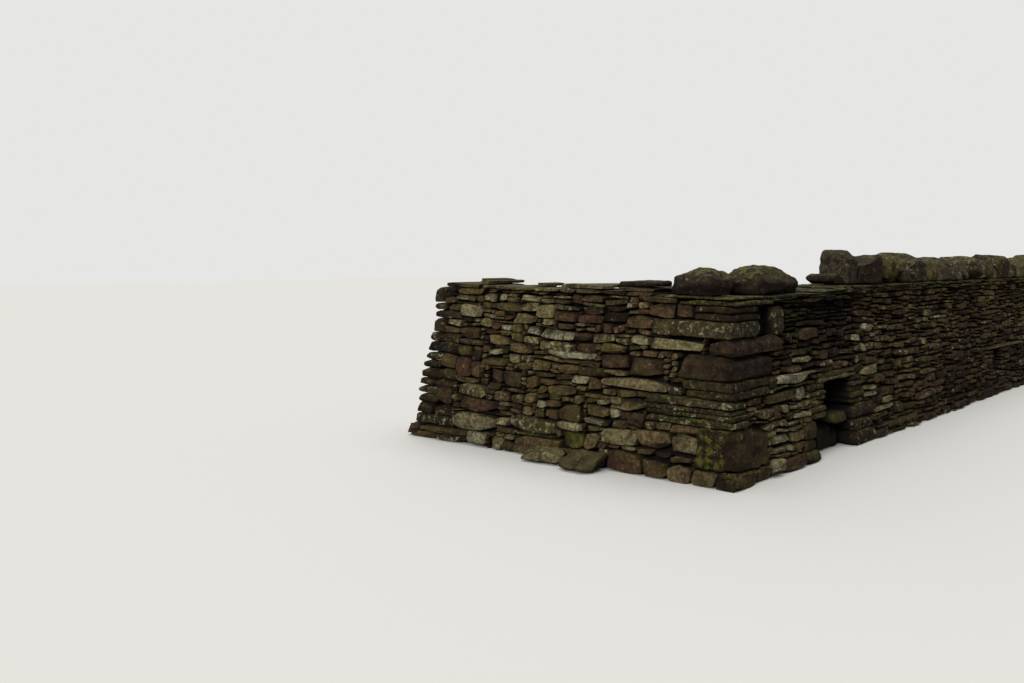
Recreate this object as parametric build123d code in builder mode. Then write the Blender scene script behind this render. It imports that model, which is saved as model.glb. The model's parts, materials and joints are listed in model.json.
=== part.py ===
from build123d import *
import math
import os

# A dry stone field wall that turns a corner, in millimetres. The long arm runs along +X, the
# shorter front arm along +Y, and the outer corner points to low X and low Y. The origin is
# on the ground where the two arms' centre lines cross.

# Wall section: a double skin of stone that leans in on both sides
base_width = 720
top_width = 400
masonry_height = 1250
footing_height = 100
first_lift_height = 520
cover_thickness = 60
footing_outset = 18
stone_joint = 4
stone_clearance = 0.4

# Courses of each lift from the bottom up: share of the height, how far the course is set back
lower_courses = [(24, 0), (16, 12), (22, 3), (16, 15), (22, 5)]
upper_courses = [(18, 12), (21, 2), (14, 14), (18, 4), (13, 15), (16, 6)]

# Arms and bays, measured along the outer face from the outer corner
long_arm = 9000
front_arm = 2850
corner_bay = 2060
plain_bays = 4

# Corner stones from the bottom up: share of the height, then how far each reaches along the
# long arm and along the front arm
corner_stones = [
    (27, 520, 300),
    (18, 290, 700),
    (12, 630, 440),
    (16, 700, 500),
    (11, 850, 310),
    (11, 560, 720),
    (10, 560, 430),
]
corner_stone_outset = 14
corner_arris_radius = 60
corner_undercut = 45
corner_flag_long = 760
corner_flag_thickness = 60
corner_flag_drop = 40

# Creep hole for sheep at the foot of the corner bay, beside the straight joint
hole_width = 520
hole_height = 550
hole_low_height = 290
hole_low_widening = 200
left_jamb_low_length = 220
left_jamb_high_length = 300
right_jamb_low_length = 430
right_jamb_low_height = 330
right_jamb_high_length = 250
lintel_thickness = 70
lintel_bearing_length = 110
lintels_across = 3
hearting_gap = 12

# Loose stones set in the hole to stop it: two on the ground and a slab across them
stopper_length = 340
stopper_width = 300
stopper_height = 200
stopper_forward = 90
small_stopper_height = 150
stopper_slab_length = 440
stopper_slab_width = 240
stopper_slab_thickness = 105
stopper_slab_forward = 180
stone_taper = 4

# Ends of the arms: courses of ties across the wall and runners along it, by share of the height
head_courses = [17, 13, 15, 12, 16, 11, 12, 13]
tie_length = 260
runner_length = 430

# Through stones, laid across the wall on the first lift
through_width = 230
through_thickness = 60
through_outset = 30
through_spacing = 870
front_throughs = 2

# Top of the front arm: thin flags from the corner to the gate end: thickness, share of the length
front_flags = [(60, 43), (66, 40), (52, 38), (62, 43), (70, 36)]
flat_block_length = 300
flat_block_width = 250
flat_block_height = 52
flat_block_setback = 10

# Top of the corner bay beyond the corner flag, rising to the cope: thickness, share of the length
corner_flags = [(60, 68), (78, 18), (96, 14)]

# Boulders laid as cope on the corner: length, width, height
front_boulder = (470, 370, 200)
front_boulder_back = 65
return_boulder = (880, 370, 205)
boulder_gap = 20
boulder_bulge = 22
boulder_bulge_level = 0.4
boulder_top_share = 0.6

# Cope stones: they stand across the wall and lean back along it: thickness, extra height
cope_setback = 250
cope_height = 258
cope_width = 430
cope_slope = 0.18
cope_shoulder = 75
cope_edge_share = 0.16
cope_stones = [
    (430, 22),
    (125, -48),
    (150, -22),
    (205, -8),
    (170, -76),
    (460, 14),
    (150, -34),
    (190, -58),
    (360, 22),
    (230, -14),
    (160, -46),
    (290, 4),
]
full_lean_after = 3
cope_end_length = 250
cope_end_width = 260
cope_end_height = 280
cope_end_shoulder = 30

# Wedge-shaped stone left tilted at the start of the cope
tilted_stone_length = 240
tilted_stone_width = 260
tilted_stone_low = 45
tilted_stone_high = 120

# Slabs that lean on the foot of the front arm: distance along it, width, reach, height over the footing
foot_slabs = [(920, 310, 250, 45), (1250, 330, 200, 15)]
foot_slab_edge = 35

# Worked out from the sizes above
half = base_width / 2
batter = (base_width - top_width) / 2 / masonry_height
batter_angle = math.degrees(math.atan(batter))
margin = base_width
far_end = long_arm - half
gate_end = front_arm - half
joint_x = corner_bay - half
bay_length = (far_end - joint_x) / plain_bays
lift_level = footing_height + first_lift_height
cover_bed = masonry_height - cover_thickness
flag_bed = cover_bed - corner_flag_drop
flag_top = flag_bed + corner_flag_thickness
hole_left = joint_x - hole_width
hole_low_left = hole_left - hole_low_widening
left_low_start = hole_low_left - left_jamb_low_length
left_high_start = hole_left - left_jamb_high_length
right_low_end = joint_x + right_jamb_low_length
right_high_end = joint_x + right_jamb_high_length
lintel_start = hole_left - lintel_bearing_length
lintel_end = joint_x + lintel_bearing_length
lintel_top = hole_height + lintel_thickness
cope_start = joint_x + cope_setback
front_start = half - batter * cover_bed
corner_flag_front = half + front_start - upper_courses[-1][1] - stone_joint
flag_edge = -half + batter * flag_top
front_flags_start = flag_edge + front_boulder_back + front_boulder[0] + boulder_gap
flags_end = gate_end - tie_length
whole_width = (-half - margin, half + margin)
outer_skin = (-half - margin, -hearting_gap / 2)
inner_skin = (hearting_gap / 2, half + margin)


def share_out(bottom, top, shares):
    """The levels or places that divide a length by shares, both ends included."""
    places = [bottom]
    for share in shares:
        places.append(places[-1] + (top - bottom) * share / sum(shares))
    return places


corner_levels = share_out(footing_height, flag_bed, [share for share, along, across in corner_stones])
head_levels = share_out(footing_height, cover_bed, head_courses)

os.makedirs("parts", exist_ok=True)


def keep(piece, name):
    """Names a finished piece and writes it out."""
    piece.part.label = name
    export_step(piece.part, "parts/" + name + ".step")


def block(bottom, top, x_range, y_range):
    """A plain box between two levels, over a plan rectangle."""
    with BuildPart() as piece:
        with Locations((sum(x_range) / 2, sum(y_range) / 2, (bottom + top) / 2)):
            Box(x_range[1] - x_range[0], y_range[1] - y_range[0], top - bottom)
    return piece.part


def battered(bottom, top, outset, x_end, y_end):
    """A battered slab of masonry from the outer corner to the given ends, between two levels."""
    inset = batter * bottom - outset
    near = -half + inset
    with BuildPart() as piece:
        with BuildSketch(Plane.XY.offset(bottom)):
            with Locations(((near + x_end - inset) / 2, (near + y_end - inset) / 2)):
                Rectangle(x_end - inset - near, y_end - inset - near)
        extrude(amount=top - bottom, taper=batter_angle)
    return piece.part


def long_slice(bottom, top, x_range, outset=0, y_range=whole_width):
    """The part of the long arm between two levels and two places along it."""
    with BuildPart() as piece:
        add(battered(bottom, top, outset, far_end, half))
        add(block(bottom, top, x_range, y_range), mode=Mode.INTERSECT)
    return piece.part


def front_slice(bottom, top, y_range, outset=0, x_range=whole_width):
    """The same for the front arm, which stops against the long arm's inner face."""
    with BuildPart() as piece:
        add(battered(bottom, top, outset, half, gate_end))
        add(block(bottom, top, x_range, y_range), mode=Mode.INTERSECT)
        add(battered(bottom, top, outset, far_end, half), mode=Mode.SUBTRACT)
    return piece.part


def coursed(arm_slice, span, bottom, top, courses, limit):
    """A lift of an arm, course by course, up to a level where it stops."""
    levels = share_out(bottom, top, [share for share, setback in courses])
    with BuildPart() as piece:
        for number, (share, setback) in enumerate(courses):
            if levels[number] < limit:
                add(arm_slice(levels[number], min(levels[number + 1], limit), span, -setback))
    return piece.part


def lower_lift(arm_slice, span):
    """The first lift of an arm, from the footing to the through stones."""
    return coursed(arm_slice, span, footing_height, lift_level, lower_courses, lift_level)


def upper_lift(arm_slice, span, limit):
    """The second lift of an arm, from the through stones to the flags."""
    return coursed(arm_slice, span, lift_level, cover_bed, upper_courses, limit)


def corner_room(number):
    """The plan ranges that a corner stone takes up, from outside the wall inwards."""
    share, along, across = corner_stones[number]
    return (whole_width[0], -half + along), (whole_width[0], -half + across)


# Room that the built stones take out of the lifts
corner_rooms = []
for number in range(len(corner_stones)):
    corner_rooms.append(block(corner_levels[number], corner_levels[number + 1], *corner_room(number)))

hole_rooms = [
    block(0, hole_low_height, (left_low_start, joint_x), whole_width),
    block(hole_low_height, hole_height, (left_high_start, joint_x), whole_width),
    block(hole_height, lintel_top, (lintel_start, lintel_end), whole_width),
    block(0, right_jamb_low_height, (joint_x, right_low_end), whole_width),
    block(right_jamb_low_height, hole_height, (joint_x, right_high_end), whole_width),
]


def head_room(number, end):
    """Where a course of an arm's end starts and stops along the arm."""
    length = tie_length if number % 2 else runner_length
    return (end - length, end + margin)


far_rooms = []
gate_rooms = []
for number in range(len(head_courses)):
    levels = (head_levels[number], head_levels[number + 1])
    far_rooms.append(block(*levels, head_room(number, far_end), whole_width))
    gate_rooms.append(block(*levels, whole_width, head_room(number, gate_end)))


def through_spans(start, count):
    """Where the through stones of an arm lie along it."""
    centres = [start + (number + 0.5) * through_spacing for number in range(count)]
    return [(centre - through_width / 2, centre + through_width / 2) for centre in centres]


through_top = lift_level + through_thickness
long_throughs = int((far_end - runner_length - joint_x) / through_spacing)
long_through_spans = through_spans(joint_x, long_throughs)
front_through_spans = through_spans(half, front_throughs)

# Footing course: the biggest stones, standing a little proud of the wall above
with BuildPart() as footing_corner:
    add(long_slice(0, footing_height, (whole_width[0], left_low_start), footing_outset))
    with Locations((-half, -half, footing_height / 2)):
        Box(2 * corner_undercut, 2 * corner_undercut, footing_height, mode=Mode.SUBTRACT)
keep(footing_corner, "footing_corner")

with BuildPart() as footing_front:
    add(front_slice(0, footing_height, (0, gate_end + margin), footing_outset))
keep(footing_front, "footing_front")

with BuildPart() as footing_long:
    for bay in range(plain_bays):
        start = right_low_end if bay == 0 else joint_x + bay * bay_length + stone_joint
        end = far_end + margin if bay == plain_bays - 1 else joint_x + (bay + 1) * bay_length
        add(long_slice(0, footing_height, (start, end), footing_outset))
keep(footing_long, "footing_long")

# First lift, from the footing to the through stones
with BuildPart() as lower_corner:
    add(lower_lift(long_slice, (whole_width[0], joint_x)))
    for room in corner_rooms + hole_rooms:
        add(room, mode=Mode.SUBTRACT)
keep(lower_corner, "lower_corner")

with BuildPart() as lower_front:
    add(lower_lift(front_slice, (0, gate_end + margin)))
    for room in corner_rooms + gate_rooms:
        add(room, mode=Mode.SUBTRACT)
keep(lower_front, "lower_front")

for bay in range(plain_bays):
    start = joint_x + bay * bay_length
    with BuildPart() as lower_bay:
        add(lower_lift(long_slice, (start, start + bay_length)))
        if bay == 0:
            for room in hole_rooms:
                add(room, mode=Mode.SUBTRACT)
        if bay == plain_bays - 1:
            for room in far_rooms:
                add(room, mode=Mode.SUBTRACT)
    keep(lower_bay, "lower_bay_" + str(bay + 2))

# Second lift, from the through stones to the flags under the cope
with BuildPart() as upper_corner:
    add(upper_lift(long_slice, (whole_width[0], joint_x), flag_bed))
    for room in corner_rooms + hole_rooms:
        add(room, mode=Mode.SUBTRACT)
keep(upper_corner, "upper_corner")

with BuildPart() as upper_front:
    add(upper_lift(front_slice, (0, gate_end + margin), cover_bed))
    for room in corner_rooms + gate_rooms:
        add(room, mode=Mode.SUBTRACT)
    for span in front_through_spans:
        add(block(lift_level, through_top, whole_width, span), mode=Mode.SUBTRACT)
keep(upper_front, "upper_front")

for bay in range(plain_bays):
    start = joint_x + bay * bay_length
    with BuildPart() as upper_bay:
        add(upper_lift(long_slice, (start, start + bay_length), cover_bed))
        for span in long_through_spans:
            add(block(lift_level, through_top, span, whole_width), mode=Mode.SUBTRACT)
        if bay == 0:
            for room in hole_rooms:
                add(room, mode=Mode.SUBTRACT)
        if bay == plain_bays - 1:
            for room in far_rooms:
                add(room, mode=Mode.SUBTRACT)
    keep(upper_bay, "upper_bay_" + str(bay + 2))

# Through stones, their ends showing on both faces
with BuildPart() as throughs_front:
    for span in front_through_spans:
        add(front_slice(lift_level, through_top, span, through_outset))
keep(throughs_front, "throughs_front")

with BuildPart() as throughs_long:
    for span in long_through_spans:
        add(long_slice(lift_level, through_top, span, through_outset))
keep(throughs_long, "throughs_long")


def corner_stone(number):
    """One stone of the outer corner, its two outer faces standing proud."""
    levels = (corner_levels[number], corner_levels[number + 1])
    with BuildPart() as stone:
        add(battered(*levels, corner_stone_outset, far_end, gate_end))
        add(block(*levels, *corner_room(number)), mode=Mode.INTERSECT)
    return stone.part


# Corner: the bottom boulder, stones that reach along one face and then the other, and the flag
with BuildPart() as corner_base_boulder:
    add(corner_stone(0))
    arris = corner_base_boulder.edges().sort_by_distance((-half, -half, corner_levels[1] / 2))[0]
    fillet(arris, corner_arris_radius)
keep(corner_base_boulder, "corner_base_boulder")

with BuildPart() as quoins_front:
    for number in range(1, len(corner_stones), 2):
        add(corner_stone(number))
keep(quoins_front, "quoins_front")

with BuildPart() as quoins_return:
    for number in range(2, len(corner_stones), 2):
        add(corner_stone(number))
keep(quoins_return, "quoins_return")

with BuildPart() as corner_flag:
    x_range = (whole_width[0], -half + corner_flag_long)
    y_range = (whole_width[0], -half + corner_flag_front)
    add(long_slice(flag_bed, flag_top, x_range, corner_stone_outset, y_range))
keep(corner_flag, "corner_flag")

# Creep hole: jambs in pairs, one on each face, then the lintels across the wall
with BuildPart() as jambs_lower:
    for skin in (outer_skin, inner_skin):
        add(long_slice(0, hole_low_height, (left_low_start, hole_low_left), footing_outset, skin))
        add(long_slice(0, right_jamb_low_height, (joint_x, right_low_end), footing_outset, skin))
keep(jambs_lower, "jambs_lower")

with BuildPart() as jambs_upper:
    for skin in (outer_skin, inner_skin):
        add(long_slice(hole_low_height, hole_height, (left_high_start, hole_left), 0, skin))
        add(long_slice(right_jamb_low_height, hole_height, (joint_x, right_high_end), 0, skin))
keep(jambs_upper, "jambs_upper")

with BuildPart() as hole_lintels:
    lintel_step = base_width / lintels_across
    for number in range(lintels_across):
        low = whole_width[0] if number == 0 else -half + number * lintel_step + stone_joint
        high = whole_width[1] if number == lintels_across - 1 else -half + (number + 1) * lintel_step
        add(long_slice(hole_height, lintel_top, (lintel_start, lintel_end), footing_outset, (low, high)))
keep(hole_lintels, "hole_lintels")

small_stopper_length = hole_width - stopper_length - stone_clearance
slab_bed = stopper_height + stone_clearance
with BuildPart() as hole_stoppers:
    for centre, length, height in [
        (hole_left + stopper_length / 2, stopper_length, stopper_height),
        (joint_x - small_stopper_length / 2, small_stopper_length, small_stopper_height),
    ]:
        with BuildSketch(Plane.XY):
            with Locations((centre, -stopper_forward)):
                Rectangle(length, stopper_width)
        extrude(amount=height, taper=stone_taper)
    with BuildSketch(Plane.XY.offset(slab_bed)):
        with Locations((joint_x - hole_width / 2, -stopper_slab_forward)):
            Rectangle(stopper_slab_length, stopper_slab_width)
    extrude(amount=stopper_slab_thickness, taper=stone_taper)
keep(hole_stoppers, "hole_stoppers")


def head_stones(first, along_x):
    """Every second course of an arm's end: ties in one piece, or runners in pairs."""
    solids = []
    for number in range(first, len(head_courses), 2):
        levels = (head_levels[number], head_levels[number + 1])
        for skin in [whole_width] if number % 2 else [outer_skin, inner_skin]:
            if along_x:
                solids.append(long_slice(*levels, head_room(number, far_end), 0, skin))
            else:
                solids.append(front_slice(*levels, head_room(number, gate_end), 0, skin))
    return solids


# Ends of the two arms
for name, along_x in [("gate_head", False), ("far_head", True)]:
    with BuildPart() as runners:
        for stone in head_stones(0, along_x):
            add(stone)
    keep(runners, name + "_runners")
    with BuildPart() as ties:
        for stone in head_stones(1, along_x):
            add(stone)
    keep(ties, name + "_ties")

# Thin flags that level the top of the front arm, and one flat block on them
flag_places = share_out(front_flags_start, flags_end, [share for thickness, share in front_flags])
with BuildPart() as top_flags_front:
    for number, (thickness, share) in enumerate(front_flags):
        y_range = (flag_places[number] + stone_joint, flag_places[number + 1])
        add(front_slice(cover_bed, cover_bed + thickness, y_range, footing_outset))
keep(top_flags_front, "top_flags_front")

with BuildPart() as flat_block:
    with BuildSketch(Plane.XY.offset(cover_bed + front_flags[0][0])):
        with Locations((-flat_block_width / 4, front_flags_start + flat_block_setback + flat_block_length / 2)):
            Rectangle(flat_block_width, flat_block_length)
    extrude(amount=flat_block_height, taper=stone_taper)
keep(flat_block, "flat_block")

# Flags on the corner bay, rising towards the cope
flag_places = share_out(-half + corner_flag_long, joint_x, [share for thickness, share in corner_flags])
with BuildPart() as top_flags_corner:
    for number, (thickness, share) in enumerate(corner_flags):
        x_range = (flag_places[number] + stone_joint, flag_places[number + 1])
        add(long_slice(flag_bed, flag_bed + thickness, x_range, footing_outset))
keep(top_flags_corner, "top_flags_corner")

# Cover flags that carry the cope
with BuildPart() as cover_long:
    for bay in range(plain_bays):
        start = joint_x + bay * bay_length + stone_joint
        end = far_end + margin if bay == plain_bays - 1 else joint_x + (bay + 1) * bay_length
        add(long_slice(cover_bed, masonry_height, (start, end), footing_outset))
keep(cover_long, "cover_long")


def boulder(x_start, x_length, y_start, y_length, height):
    """A lumpy boulder with a flat bed: eight sides that bulge, then draw in to a smaller top."""
    sections = [
        (0, -boulder_bulge, 1),
        (height * boulder_bulge_level, 0, 1),
        (height, 0, boulder_top_share),
    ]
    with BuildPart() as stone:
        for rise, grow, scale in sections:
            long_side = scale * x_length + 2 * grow
            short_side = scale * y_length + 2 * grow
            with BuildSketch(Plane.XY.offset(flag_top + rise)) as section:
                with Locations((x_start + x_length / 2, y_start + y_length / 2)):
                    Rectangle(long_side, short_side)
                chamfer(section.vertices(), min(long_side, short_side) * 0.3)
        loft(ruled=True)
    return stone.part


# Two mossy boulders laid as cope on the corner, one on each arm
with BuildPart() as cope_boulder_front:
    length, width, height = front_boulder
    add(boulder(flag_edge, width, flag_edge + front_boulder_back, length, height))
keep(cope_boulder_front, "cope_boulder_front")

with BuildPart() as cope_boulder_return:
    length, width, height = return_boulder
    add(boulder(flag_edge + front_boulder[1] + boulder_gap, length, flag_edge, width, height))
keep(cope_boulder_return, "cope_boulder_return")


def cope_stone(start, thickness, height, slope, shoulder, width):
    """One cope stone on edge across the wall, leaning back along it, its shoulders rounded."""
    lean = slope * height
    top = masonry_height + height
    with BuildPart() as stone:
        with BuildSketch(Plane.XZ) as side:
            with BuildLine():
                Polyline(
                    (start, masonry_height),
                    (start + thickness, masonry_height),
                    (start + thickness - lean, top),
                    (start - lean, top),
                    close=True,
                )
            make_face()
            chamfer(side.vertices().group_by(Axis.Y)[-1], cope_edge_share * thickness)
        extrude(amount=width / 2, both=True)
        with BuildSketch(Plane.YZ.offset(start + thickness / 2)) as across:
            with Locations((0, masonry_height + height / 2)):
                Rectangle(width, height)
            fillet(across.vertices().group_by(Axis.Y)[-1], shoulder)
        extrude(amount=thickness + lean, both=True, mode=Mode.INTERSECT)
    return stone.part


# Cope: an upright block at each end, and stones between them that lean towards the corner
with BuildPart() as cope_end_block:
    add(cope_stone(cope_start, cope_end_length, cope_end_height, 0, cope_end_shoulder, cope_end_width))
keep(cope_end_block, "cope_end_block")

tallest_cope = cope_height + max(extra for thickness, extra in cope_stones)
far_block_start = far_end - batter * masonry_height - cope_end_length
cope_bays = [[] for bay in range(plain_bays)]
place = cope_start + cope_end_length + stone_joint
slope = 0
number = 0
while place + cope_stones[number % len(cope_stones)][0] < far_block_start:
    thickness, extra = cope_stones[number % len(cope_stones)]
    bay = int((place - joint_x) / bay_length)
    cope_bays[bay].append((place, thickness, cope_height + extra, slope, cope_shoulder, cope_width))
    number += 1
    next_slope = cope_slope * min(1, number / full_lean_after)
    place += thickness + stone_joint + (next_slope - slope) * tallest_cope
    slope = next_slope
cope_bays[-1].append((far_block_start, cope_end_length, cope_end_height, 0, cope_end_shoulder, cope_width))

for bay, stones in enumerate(cope_bays):
    with BuildPart() as cope_bay:
        for stone in stones:
            add(cope_stone(*stone))
    keep(cope_bay, "cope_bay_" + str(bay + 2))

# Stone left tilted at the start of the cope, its low end against the end block
tilted_start = cope_start - tilted_stone_length
with BuildPart() as tilted_stone:
    with BuildSketch(Plane.XZ):
        with BuildLine():
            Polyline(
                (tilted_start, masonry_height),
                (cope_start, masonry_height),
                (cope_start, masonry_height + tilted_stone_low),
                (tilted_start, masonry_height + tilted_stone_high),
                close=True,
            )
        make_face()
    extrude(amount=tilted_stone_width / 2, both=True)
keep(tilted_stone, "tilted_stone")


def footing_face(level):
    """How far out the footing's outer face stands at a level."""
    return -half - footing_outset + batter * level


# Fallen slabs that lean on the foot of the front arm
with BuildPart() as foot_stones:
    for place, width, reach, height in foot_slabs:
        with BuildSketch(Plane.XZ.offset(half - place - width)):
            with BuildLine():
                Polyline(
                    (footing_face(0) - reach, 0),
                    (footing_face(0), 0),
                    (footing_face(footing_height), footing_height),
                    (footing_face(footing_height) - foot_slab_edge, footing_height + height),
                    (footing_face(0) - reach, foot_slab_edge),
                    close=True,
                )
            make_face()
        extrude(amount=width)
keep(foot_stones, "foot_slabs")
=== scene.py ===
"""Dresses a dry stone field wall: every stone laid, the cope and its moss, the light and the camera."""

import json
import math
import random

import bmesh
import bpy
import numpy as np
from mathutils import Matrix, Vector

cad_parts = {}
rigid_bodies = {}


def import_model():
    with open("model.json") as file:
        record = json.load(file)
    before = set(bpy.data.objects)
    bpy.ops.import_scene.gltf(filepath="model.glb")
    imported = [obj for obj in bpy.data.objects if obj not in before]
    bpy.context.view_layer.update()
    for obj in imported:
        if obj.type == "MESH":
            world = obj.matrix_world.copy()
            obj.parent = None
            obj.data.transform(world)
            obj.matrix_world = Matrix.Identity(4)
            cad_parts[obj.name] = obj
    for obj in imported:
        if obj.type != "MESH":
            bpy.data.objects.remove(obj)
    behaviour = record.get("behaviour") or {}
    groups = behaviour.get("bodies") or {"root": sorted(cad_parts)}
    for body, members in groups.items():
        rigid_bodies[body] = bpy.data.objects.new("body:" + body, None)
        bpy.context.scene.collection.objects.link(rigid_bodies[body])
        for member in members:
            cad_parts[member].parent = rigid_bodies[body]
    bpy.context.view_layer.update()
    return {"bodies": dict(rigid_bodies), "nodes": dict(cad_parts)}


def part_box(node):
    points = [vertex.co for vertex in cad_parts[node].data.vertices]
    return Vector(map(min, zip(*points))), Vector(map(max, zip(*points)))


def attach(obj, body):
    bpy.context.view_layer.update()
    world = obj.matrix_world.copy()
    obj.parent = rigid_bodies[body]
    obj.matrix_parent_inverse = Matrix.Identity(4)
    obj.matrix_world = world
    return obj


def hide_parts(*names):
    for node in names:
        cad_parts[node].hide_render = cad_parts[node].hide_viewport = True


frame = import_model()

bl_info = {
    "name": "Dry stone wall",
    "version": (1, 0, 0),
    "blender": (4, 5, 0),
    "location": "View3D > Sidebar > Stone wall",
    "description": "Lays the stones of a field wall over its packed frame and weathers them",
    "category": "Object",
}

NODES = frame["nodes"]

# ---- sizes read from the frame

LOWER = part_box("lower_bay_3")
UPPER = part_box("upper_bay_3")
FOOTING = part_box("footing_long")
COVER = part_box("cover_long")
BATTER = (FOOTING[1].y - COVER[1].y) / COVER[0].z
HALF = LOWER[1].y + BATTER * LOWER[0].z
FOOTING_OUTSET = FOOTING[1].y - HALF
FOOTING_TOP = FOOTING[1].z
COVER_BED = COVER[0].z
FLAG_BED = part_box("corner_flag")[0].z
JOINT_X = UPPER[0].x - (UPPER[1].x - UPPER[0].x)
FAR_END = FOOTING[1].x - FOOTING_OUTSET
GATE_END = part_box("footing_front")[1].y - FOOTING_OUTSET
LIFTS = [name for name in NODES if name.startswith(("lower_", "upper_", "footing_"))]
KEY_STONES = [
    "corner_base_boulder", "quoins_front", "quoins_return", "corner_flag", "jambs_lower",
    "jambs_upper", "hole_lintels", "throughs_front", "throughs_long", "gate_head_runners",
    "gate_head_ties", "far_head_runners", "far_head_ties",
]


# The stone of each part of the wall
WALLING, QUOIN = "Sandstone, laid dry", "Sandstone quoin, lichened"
FLAG, COPE = "Flagstone, mossed", "Gritstone cope, mossed"
# What each point of a piece tells its material
# Deep is painted shade with dirt: it darkens a point towards near black in joints, hollows and under stones
TRAITS = ("tone", "lichen", "moss", "deep")


def metres(name, description, default):
    """A length in metres that a user can change."""
    return bpy.props.FloatProperty(
        name=name, description=description, default=default, unit="LENGTH", subtype="DISTANCE")


class WallSizes(bpy.types.PropertyGroup):
    """Sizes of the stones and of the joints between them."""

    longest: metres("Longest stone", "Longest stone of the walling", 0.44)
    shortest: metres("Shortest stone", "Shortest stone of the walling", 0.085)
    thickest: metres("Thickest stone", "Height of the thickest stones", 0.105)
    thinnest: metres("Thinnest stone", "Height of the thinnest stones", 0.026)
    joint: metres("Joint", "Open joint between two stones", 0.0095)
    skin: metres("Skin", "How far a face stone reaches into the wall", 0.15)
    unevenness: metres("Unevenness", "How far stones stand in or out of the face", 0.011)
    sway: metres("Sway", "How far the beds wander up and down", 0.030)
    ruck: metres("Ruck", "How far each stone is out of true", 0.013)
    grit: metres("Grit", "Mesh size of the big stones", 0.021)
    seed: bpy.props.IntProperty(name="Seed", description="Changes how the stones fall", default=11)


class WallColours(bpy.types.PropertyGroup):
    """Colours that a user would change, as sRGB hex codes."""

    moss: bpy.props.StringProperty(name="Moss", description="Moss cushions", default="#4f4c1c")
    lichen: bpy.props.StringProperty(name="Lichen", description="Pale crusts", default="#9a9678")
    floor: bpy.props.StringProperty(name="Floor", description="Studio floor", default="#cbc9c4")


# ---- noise and small helpers


def value_noise(points, seed):
    """Smooth noise from -1 to 1 at each point, with one random value to a unit cell."""
    cell = np.floor(points).astype(np.int64)
    part = points - cell
    part = part * part * (3 - 2 * part)
    total = np.zeros(len(points))
    for corner in np.ndindex(2, 2, 2):
        key = (cell + corner) @ np.array([73856093, 19349663, 83492791]) + seed * 7919
        key = (key ^ (key >> 13)) * 1274126177 & 0x7FFFFFFF
        value = ((key ^ (key >> 15)) & 0xFFFF) / 32767.5 - 1
        total += value * np.prod(np.where(corner, part, 1 - part), axis=1)
    return total


def plane_noise(x, y, seed):
    """The same noise at places of a plane."""
    return value_noise(np.stack(np.broadcast_arrays(np.atleast_1d(x), y, 0.5), axis=1), seed)


def smooth_step(value, low, high):
    """0 below low, 1 above high, and a soft ramp between."""
    share = np.clip((value - low) / (high - low), 0, 1)
    return share * share * (3 - 2 * share)


def only(thing):
    """Makes an object the only one selected, and the active one."""
    for other in bpy.context.selected_objects:
        other.select_set(False)
    thing.select_set(True)
    bpy.context.view_layer.objects.active = thing


def cut_off(place, normal):
    """In edit mode, cuts away what lies past a plane and closes the cut."""
    bpy.ops.mesh.select_all(action="SELECT")
    bpy.ops.mesh.bisect(plane_co=place, plane_no=normal, use_fill=True, clear_outer=True)


def pick(mesh, kind, wanted):
    """In edit mode, selects the edges or faces that are wanted and no others."""
    bpy.ops.mesh.select_all(action="DESELECT")
    worked = bmesh.from_edit_mesh(mesh)
    for part in getattr(worked, kind):
        part.select_set(wanted(part))
    bmesh.update_edit_mesh(mesh)


def depth_inside(points):
    """How far each point lies behind the nearest outer face of the wall, in the L of its plan."""
    x, y, z = points.T
    half = HALF - BATTER * z
    along = np.minimum.reduce([half - np.abs(y), x + half, FAR_END - BATTER * z - x])
    across = np.minimum.reduce([half - np.abs(x), y + half, GATE_END - BATTER * z - y])
    return np.maximum(along, across)


def solids(node):
    """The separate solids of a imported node, from a merged copy of its mesh, as (points, faces)."""
    merged = bmesh.new()
    merged.from_mesh(NODES[node].data)
    bmesh.ops.remove_doubles(merged, verts=merged.verts, dist=1e-5)
    merged.verts.index_update()
    co = np.array([vertex.co for vertex in merged.verts])
    ends = np.array([[vertex.index for vertex in edge.verts] for edge in merged.edges])
    island, before = np.arange(len(co)), None
    while not np.array_equal(island, before):
        before = island.copy()
        for side in (0, 1):
            np.minimum.at(island, ends[:, side], island[ends].min(axis=1))
    found = []
    for number in np.unique(island):
        members = np.flatnonzero(island == number)
        places = {index: place for place, index in enumerate(members)}
        faces = [[places[vertex.index] for vertex in face.verts] for face in merged.faces
                 if island[face.verts[0].index] == number]
        found.append((co[members], faces))
    merged.free()
    return sorted(found, key=lambda solid: tuple(solid[0].mean(axis=0).round(4)))


def take_mesh(thing):
    """The points and faces of an object, which is then removed."""
    mesh = thing.data
    points = np.empty(len(mesh.vertices) * 3)
    mesh.vertices.foreach_get("co", points)
    faces = [list(face.vertices) for face in mesh.polygons]
    bpy.data.objects.remove(thing)
    bpy.data.meshes.remove(mesh)
    return points.reshape(-1, 3), faces


# ---- joined stones

# Degrees past which an edge stays sharp, on small stones and on big ones
SMALL_EDGE, BIG_EDGE = 30, 55


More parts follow.
